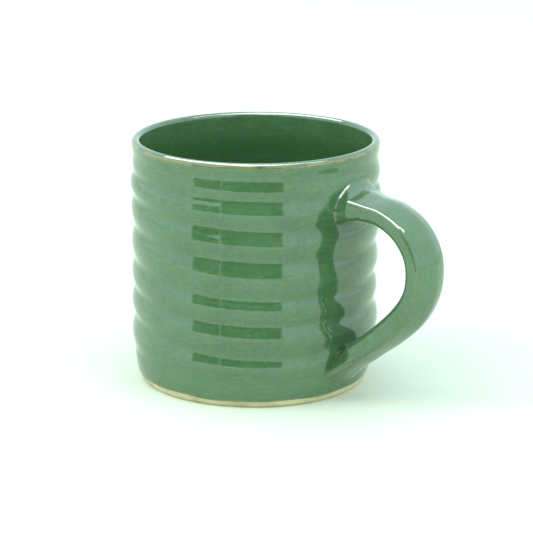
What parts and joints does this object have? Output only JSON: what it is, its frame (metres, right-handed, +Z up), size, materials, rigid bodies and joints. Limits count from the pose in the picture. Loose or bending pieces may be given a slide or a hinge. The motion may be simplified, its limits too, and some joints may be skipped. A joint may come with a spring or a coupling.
{
  "type": "ceramic mug",
  "caption": "Wheel-thrown stoneware mug with straight ringed walls, a rounded lip, a bare flat foot and a pulled strap handle.",
  "frame": {"origin": "centre of the flat foot, on the mug's axis, where it rests", "axes": "+Z up along the mug's axis, +X towards the handle, +Y to the left of someone who faces the handle from outside the mug"},
  "size_m": [0.1237, 0.0892, 0.0878],
  "materials": {
    "bare_stoneware": "unglazed fired buff stoneware, dry and fine-grained",
    "fired_slip": "fired slip, dry",
    "green_glaze": "glossy mottled sage green glaze that breaks to tan on edges"
  },
  "bodies": {
    "root": {"thrown_body": "bare_stoneware", "pulled_handle": "bare_stoneware", "upper_slip_joint": "fired_slip", "lower_slip_joint": "fired_slip", "liner_glaze": "green_glaze", "wall_glaze": "green_glaze", "handle_glaze": "green_glaze"}
  },
  "joints": []
}
